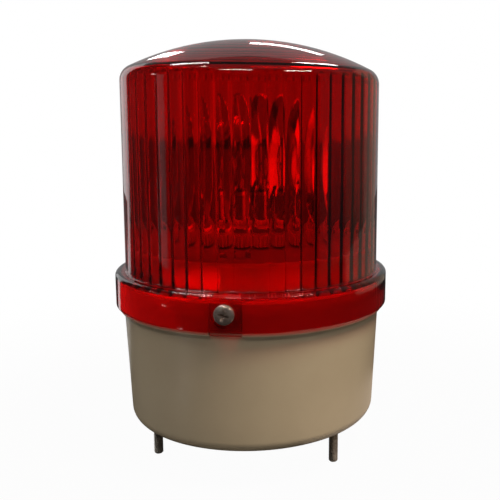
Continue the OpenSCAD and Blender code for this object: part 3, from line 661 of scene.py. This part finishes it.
def makeScrews(shape):
    edge = shape["edgeRound"]
    under = shape["underRound"]
    radius = shape["shankRadius"]
    tip = -shape["shankLength"]
    edgeDrop, crownDrop = shape["crown"]
    corner = (shape["headRadius"] - edge, shape["headHeight"] - edgeDrop - edge)
    points = [(0, tip), (shape["tipShare"] * radius, tip), (radius, tip + shape["tipLength"]), (radius, 0)]
    points += [(shape["headRadius"] - under, 0), (shape["headRadius"], under)]
    points += arcPoints(corner, edge, 0, shape["edgeSweep"], shape["edgeSteps"])
    points += [(shape["crownShare"] * shape["headRadius"], shape["headHeight"] - crownDrop)]
    points += [(0, shape["headHeight"])]
    screw = turnProfile("screw", points, shape["sides"])
    combine(screw, recessWing(shape, 0), "DIFFERENCE")
    combine(screw, recessWing(shape, math.pi / 2), "DIFFERENCE")
    outward = Matrix.Translation((shape["seat"], 0, shape["height"])) @ Matrix.Rotation(math.pi / 2, 4, "Y")
    turns = zip(screwAngles, shape["turns"])
    places = [turnAbout(angle) @ outward @ turnAbout(turn) for angle, turn in turns]
    screws = joinCopies(screw, places, "cross_screws")
    smoothEdges(screws, 35)
    finishPiece(screws, "housing", "nickel_steel", finishes["nickel_steel"], "lens_screws")


makeScrews(screwShape)


# Studs: a helical thread below the base, a plain neck in its floor and a hex head in its pocket
studShape = {
    "circle": 45 * mm,
    "crest": 2 * mm,
    "root": 1.58 * mm,
    "pitch": 0.7 * mm,
    "turns": 25,
    "length": 16 * mm,
    "tip": 0.6 * mm,
    "neckRadius": 2.4 * mm,
    "seat": 4 * mm,
    "headFlats": 7 * mm,
    "headHeight": 2.8 * mm,
    "headEdge": 0.3 * mm,
    "crestShare": (0.42, 0.58),  # of the pitch
    "neckEdge": 0.15 * mm,
    "lap": 0.3 * mm,  # how far the stud's parts run into each other
    "trimRoom": 0.05 * mm,
    "threadSteps": 28,
    "sides": 48,
}


def makeThread(shape):
    pitch = shape["pitch"]
    foot = -shape["length"] - 2 * pitch
    points = [(shape["root"], foot)]
    points += [(shape["crest"], foot + share * pitch) for share in shape["crestShare"]]
    points += [(shape["root"], foot + pitch)]
    thread = drawLine("thread", points)
    useModifier(
        thread, "SCREW", axis="Z", angle=2 * math.pi, screw_offset=pitch, iterations=shape["turns"],
        steps=shape["threadSteps"], render_steps=shape["threadSteps"],
        use_merge_vertices=True, merge_threshold=mergeGap)
    openMesh(thread)
    bpy.ops.mesh.select_all(action="SELECT")
    bpy.ops.mesh.remove_doubles(threshold=mergeGap)
    bpy.ops.mesh.fill_holes(sides=0)
    bpy.ops.mesh.normals_make_consistent(inside=False)
    closeMesh()
    return thread


def makeStuds(shape):
    thread = makeThread(shape)
    wide = shape["crest"] + shape["trimRoom"]
    end = -shape["length"]
    lap = shape["lap"]
    blank = [(0, end), (wide - shape["tip"], end), (wide, end + shape["tip"]), (wide, lap), (0, lap)]
    combine(thread, turnProfile("blank", blank, shape["sides"]), "INTERSECT")
    neckTop = shape["seat"] + lap
    neck = [(0, 0), (shape["neckRadius"] - shape["neckEdge"], 0), (shape["neckRadius"], shape["neckEdge"])]
    neck += [(shape["neckRadius"], neckTop), (0, neckTop)]
    collar = turnProfile("neck", neck, shape["sides"])
    clearSelection()
    bpy.ops.mesh.primitive_cylinder_add(
        vertices=6, radius=shape["headFlats"] / 2 / math.cos(math.pi / 6), depth=shape["headHeight"],
        location=(0, 0, shape["seat"] + shape["headHeight"] / 2), rotation=(0, 0, math.pi / 6))
    head = bpy.context.object
    applyPlace(head)
    useModifier(head, "BEVEL", width=shape["headEdge"], segments=2, limit_method="ANGLE")
    stud = joinAll([thread, collar, head], "stud")
    stud.location = (shape["circle"], 0, footHeight)
    applyPlace(stud)
    studs = aroundAxis(stud, studAngles, "threaded_studs")
    smoothEdges(studs, 35)
    finishPiece(studs, "housing", "zinc_steel", finishes["zinc_steel"], "mounting_studs")


makeStuds(studShape)


# Pieces whose solid is right: a merged copy with softened edges and even shading
softened = {
    "base_housing": ("base_shell", "housing", 0.2 * mm),
    "reflector": ("mirror_dish", "rotor", 0.0),
    "chassis": ("deck", "housing", 0.15 * mm),
    "bulb_glass": ("bulb", "housing", 0.0),
}
softenFrom = math.radians(40)  # sharper corners than this are bevelled


def softenNode(node, name, body, edge):
    piece = bpy.data.objects.new(name, frame["nodes"][node].data.copy())
    bpy.context.scene.collection.objects.link(piece)
    pickOnly(piece)
    bpy.ops.mesh.customdata_custom_splitnormals_clear()
    openMesh(piece)
    bpy.ops.mesh.select_all(action="SELECT")
    bpy.ops.mesh.remove_doubles(threshold=mergeGap)
    closeMesh()
    if edge:
        useModifier(piece, "BEVEL", width=edge, segments=2, limit_method="ANGLE", angle_limit=softenFrom)
    smoothEdges(piece)
    finishPiece(piece, body, slotOf[node], finishes[slotOf[node]], node)


for nodeName, (pieceName, bodyName, edgeWidth) in softened.items():
    softenNode(nodeName, pieceName, bodyName, edgeWidth)


# Stage: pale floor, white surroundings, lamps and grey cards
stageShape = {
    "floorSize": 6.0,
    "floorColour": (0.13, 0.13, 0.13, 1),
    "floorRoughness": 0.9,
    "whiteShare": (0.97, 1.0),  # beside the beacon, and further out
    "whiteReach": (0.1, 0.34),
    "skyLight": 0.08,
    "middle": (0, 0, 0.08),  # what the lamps and wall cards stand round
    "lampReach": 1.1,
    "cardReach": 1.6,
    "cardStep": 5,  # degrees in one step round the beacon
    "fewestSteps": 4,
    "cardRows": 10,
    "tableLift": 0.1 * mm,  # of the lowest table card
    "tableGap": 0.02 * mm,
    "unevenScale": 7.0,
    "unevenStretch": (1, 1, 0.04),
}


def seeBackground(tree):
    # 1 for rays that show the background: from the camera, off metal or through glass
    path = tree.nodes.new("ShaderNodeLightPath")
    shown = addMath(tree, "MAXIMUM", path.outputs["Is Camera Ray"], path.outputs["Is Glossy Ray"])
    return addMath(tree, "MAXIMUM", shown, path.outputs["Is Transmission Ray"])


def makeFloor(shape):
    clearSelection()
    bpy.ops.mesh.primitive_plane_add(size=shape["floorSize"], location=(0, 0, floorHeight))
    floor = bpy.context.object
    floor.name = "floor"
    material, tree, shader = newMaterial("paleFloor")
    shader.inputs["Base Color"].default_value = shape["floorColour"]
    shader.inputs["Roughness"].default_value = shape["floorRoughness"]
    shader.inputs["Specular IOR Level"].default_value = 0.0
    place = tree.nodes.new("ShaderNodeTexCoord")
    away = addMeasure(tree, "LENGTH", place.outputs["Object"])
    share = addStep(tree, away, shape["whiteReach"], *shape["whiteShare"], "SMOOTHSTEP")
    white = tree.nodes.new("ShaderNodeEmission")
    surfaces = (shader.outputs["BSDF"], white.outputs["Emission"])
    shown = addMath(tree, "MULTIPLY", seeBackground(tree), share)
    mixShaders(tree, shown, *surfaces, tree.nodes["Material Output"].inputs["Surface"])
    floor.data.materials.append(material)


def makeSky(shape):
    world = bpy.data.worlds.new("studio")
    bpy.context.scene.world = world
    world.use_nodes = True
    tree = world.node_tree
    soft = tree.nodes["Background"]
    soft.inputs["Color"].default_value = (1, 1, 1, 1)
    soft.inputs["Strength"].default_value = shape["skyLight"]
    white = addNode(tree, "ShaderNodeBackground", Color=(1, 1, 1, 1))
    surfaces = (soft.outputs["Background"], white.outputs["Background"])
    mixShaders(tree, seeBackground(tree), *surfaces, tree.nodes["World Output"].inputs["Surface"])


# Which rays see a lamp or a card: off a surface, through the lens
unseen = ()
inGloss = ("glossy",)
inLens = ("transmission",)
both = ("glossy", "transmission")
plainGrey = (1, 1, 1)
warmGrey = (1, 0.8, 0.64)

lamps = {
    "keyLamp": {
        "azimuth": 58, "elevation": 62, "size": (0.3, 0.3),
        "power": 21, "colour": (1, 0.88, 0.74), "sees": unseen},
    "leftLamp": {
        "azimuth": -83, "elevation": 36, "size": (0.16, 0.3),
        "power": 4.2, "colour": (0.97, 0.99, 1), "sees": unseen},
    "ledgeLamp": {
        "azimuth": 44, "elevation": 3.5, "size": (0.25, 0.008), "spread": 1.5, "reach": 0.6,
        "power": 0.08, "colour": (1, 1, 1), "sees": unseen, "aim": (0, 0, 0.065)},
    "frontLamp": {
        "azimuth": -4, "elevation": 42, "size": (0.44, 0.08),
        "power": 2.6, "colour": (1, 0.97, 0.92), "sees": inGloss},
    "sideLamp": {
        "azimuth": 56, "elevation": 41, "size": (0.42, 0.08),
        "power": 2.6, "colour": (1, 0.94, 0.86), "sees": inGloss},
    "leftTopLamp": {
        "azimuth": -97, "elevation": 62, "size": (0.16, 0.38),
        "power": 3, "colour": (1, 1, 1), "sees": inGloss},
    "sparkLamp": {
        "azimuth": -45, "elevation": 55, "size": (0.06, 0.06),
        "power": 0.5, "colour": (1, 0.96, 0.9), "sees": both},
    "backRightLamp": {
        "azimuth": 156, "elevation": 54, "size": (0.15, 0.33),
        "power": 3, "colour": (1, 1, 1), "sees": both},
    "backStrip": {
        "azimuth": 184, "elevation": 29.7, "size": (0.23, 0.067),
        "power": 0.3, "colour": (1, 1, 1), "sees": both},
    "leftStrip": {
        "azimuth": -154.5, "elevation": 26.5, "size": (0.06, 0.17),
        "power": 0.25, "colour": (1, 1, 1), "sees": both},
}
wallCards = {
    "frontCard": {"azimuths": (-45, 70), "elevations": (-4, 48), "level": 0.02, "sees": inGloss},
    "frontInside": {"azimuths": (-45, 70), "elevations": (-4, 48), "level": 0.16, "sees": inLens},
    "rightCard": {"azimuths": (70, 98), "elevations": (-4, 48), "level": 0.07, "sees": both},
    "rightSideCard": {
        "azimuths": (98, 126), "elevations": (-4, 35), "level": 0.17, "colour": warmGrey, "sees": both},
    "rightBackCard": {
        "azimuths": (126, 155), "elevations": (-4, 35), "level": 0.42, "uneven": 0.4,
        "colour": warmGrey, "sees": both},
    "rightTopCard": {"azimuths": (98, 155), "elevations": (35, 48), "level": 0.16, "sees": both},
    "backCard": {"azimuths": (155, 218), "elevations": (-4, 48), "level": 0.36, "sees": inGloss},
    "backInside": {
        "azimuths": (155, 218), "elevations": (-4, 48), "level": 0.42, "uneven": 0.8, "sees": inLens},
    "leftTopCard": {"azimuths": (218, 263), "elevations": (35, 48), "level": 0.2, "sees": both},
    "leftPanel": {"azimuths": (-130, -53), "elevations": (-4, 20), "level": 2.3, "sees": inLens},
    "leftPanelEdge": {"azimuths": (-53, -49), "elevations": (-4, 20), "level": 1.3, "sees": inLens},
    "leftPanelEnd": {"azimuths": (-49, -45), "elevations": (-4, 20), "level": 0.7, "sees": inLens},
    "leftCard": {"azimuths": (-122, -45), "elevations": (-4, 48), "level": 0.03, "sees": inGloss},
    "leftBand": {
        "azimuths": (-75, -66), "elevations": (-4, 14), "reach": 1.55, "level": 0.4, "sees": inGloss},
    "leftSpark": {
        "azimuths": (-82, -76), "elevations": (13, 17), "reach": 1.5, "level": 5, "sees": inGloss},
    "leftDark": {"azimuths": (-130, -45), "elevations": (20, 48), "level": 0.03, "sees": inLens},
    "topCard": {"azimuths": (0, 360), "elevations": (48, 90), "level": 0.14, "sees": inGloss},
    "topInside": {"azimuths": (0, 360), "elevations": (48, 90), "level": 0.34, "sees": inLens},
}
tableCards = {
    "frontTable": {"azimuths": (-45, 98), "reach": (0.0, 1.6), "level": 0.02, "sees": both},
    "frontTableInside": {"azimuths": (-45, 98), "reach": (0.3, 1.6), "level": 0.16, "sees": inLens},
    "leftTable": {"azimuths": (-122, -45), "reach": (0.0, 1.6), "level": 0.02, "sees": inGloss},
    "leftMiddleTable": {"azimuths": (-130, -53), "reach": (0.22, 0.55), "level": 1.6, "sees": inLens},
    "leftFarTable": {"azimuths": (-130, -53), "reach": (0.55, 1.6), "level": 2.1, "sees": inLens},
    "leftNearTable": {"azimuths": (-130, -53), "reach": (0.05, 0.22), "level": 2.3, "sees": inLens},
    "leftTableEdge": {"azimuths": (-53, -49), "reach": (0.05, 1.6), "level": 1.2, "sees": inLens},
    "leftTableEnd": {"azimuths": (-49, -45), "reach": (0.05, 1.6), "level": 0.6, "sees": inLens},
    "rightTable": {
        "azimuths": (98, 155), "reach": (0.4, 1.6), "level": 0.4, "colour": warmGrey, "sees": both},
    "nearTable": {"azimuths": (98, 230), "reach": (0.0, 0.4), "level": 0.02, "sees": both},
    "backTable": {"azimuths": (155, 230), "reach": (0.4, 1.6), "level": 0.1, "sees": both},
    "rightNearTable": {
        "azimuths": (40, 150), "reach": (0.05, 0.12), "level": 0.7, "colour": warmGrey, "sees": inGloss},
    "baseGleam": {"azimuths": (-43.5, -40.5), "reach": (0.12, 0.2), "level": 2, "sees": inGloss},
    "collarGleam": {"azimuths": (-60, -57.5), "reach": (0.345, 0.365), "level": 6, "sees": inGloss},
}


def aimAt(obj, target):
    obj.rotation_mode = "QUATERNION"
    obj.rotation_quaternion = (Vector(target) - obj.location).to_track_quat("-Z", "Y")


def placeAround(azimuth, elevation, distance, centre):
    a = math.radians(azimuth)
    e = math.radians(elevation)
    away = Vector((math.sin(a) * math.cos(e), -math.cos(a) * math.cos(e), math.sin(e)))
    return Vector(centre) + away * distance


def makeLamps(shape):
    for name, lamp in lamps.items():
        data = bpy.data.lights.new(name, "AREA")
        data.shape = "RECTANGLE"
        data.size, data.size_y = lamp["size"]
        data.energy = lamp["power"]
        data.color = lamp["colour"]
        data.spread = math.radians(lamp.get("spread", 180))
        light = bpy.data.objects.new(name, data)
        bpy.context.scene.collection.objects.link(light)
        target = lamp.get("aim", shape["middle"])
        reach = lamp.get("reach", shape["lampReach"])
        light.location = placeAround(lamp["azimuth"], lamp["elevation"], reach, target)
        light.visible_camera = False
        light.visible_glossy = "glossy" in lamp["sees"]
        light.visible_transmission = "transmission" in lamp["sees"]
        aimAt(light, target)


def cardFinish(name, card, shape):
    material, tree, _ = newMaterial(name)
    level = card["level"]
    colour = card.get("colour", plainGrey)
    glow = addNode(tree, "ShaderNodeEmission", Color=(*colour, 1), Strength=level)
    if "uneven" in card:
        spread = level * card["uneven"]
        noise = addNoise(tree, shape["unevenScale"], stretch=shape["unevenStretch"])
        vary(tree, noise, level - spread, level + spread, glow.inputs["Strength"])
    tree.links.new(glow.outputs["Emission"], tree.nodes["Material Output"].inputs["Surface"])
    return material


def makeCard(name, card, points, shape):
    # a line swept round the beacon, seen only in reflections and through the lens
    first, last = card["azimuths"]
    sweep = last - first
    board = turnProfile(name, points, max(shape["fewestSteps"], round(sweep / shape["cardStep"])), sweep)
    if sweep < 360:
        heart = sum((vert.co for vert in board.data.vertices), Vector())
        board.rotation_euler.z = math.radians((first + last) / 2 - 90) - math.atan2(heart.y, heart.x)
        applyPlace(board)
    board.data.materials.append(cardFinish(name, card, shape))
    board.visible_camera = False
    board.visible_diffuse = False
    board.visible_glossy = "glossy" in card["sees"]
    board.visible_transmission = "transmission" in card["sees"]
    board.visible_shadow = False


def makeCards(shape):
    centre = (0, shape["middle"][2])
    for name, card in wallCards.items():
        reach = card.get("reach", shape["cardReach"])
        makeCard(name, card, arcPoints(centre, reach, *card["elevations"], shape["cardRows"]), shape)
    for row, (name, card) in enumerate(tableCards.items()):
        height = floorHeight + shape["tableLift"] + row * shape["tableGap"]
        makeCard(name, card, [(reach, height) for reach in card["reach"]], shape)


makeFloor(stageShape)
makeSky(stageShape)
makeLamps(stageShape)
makeCards(stageShape)
print("stage set:", len(lamps), "lamps,", len(wallCards) + len(tableCards), "cards")


# Camera at the photograph's place
viewShape = {
    "azimuth": 10.6,
    "pan": 6.0,  # to the right of the beacon's axis
    "tilt": 9.98,
    "roll": 0.58,
    "distance": 322.97 * mm,
    "height": 129.57 * mm,
    "lens": 52.03,
    "sensor": 36,
    "shift": -0.1555,
    "clip": (10 * mm, 50),
}


def makeCamera(shape):
    data = bpy.data.cameras.new("camera")
    data.sensor_width = shape["sensor"]
    data.lens = shape["lens"]
    data.shift_x = shape["shift"]
    data.clip_start, data.clip_end = shape["clip"]
    camera = bpy.data.objects.new("camera", data)
    bpy.context.scene.collection.objects.link(camera)
    turn = math.radians(shape["azimuth"])
    away = shape["distance"]
    place = Matrix.Translation((away * math.sin(turn), -away * math.cos(turn), shape["height"]))
    aim = turnAbout(shape["azimuth"] - shape["pan"])
    aim = aim @ Matrix.Rotation(math.radians(90 - shape["tilt"]), 4, "X")
    camera.matrix_world = place @ aim @ turnAbout(shape["roll"])
    bpy.context.scene.camera = camera


makeCamera(viewShape)
bpy.context.scene.view_settings.view_transform = "Standard"
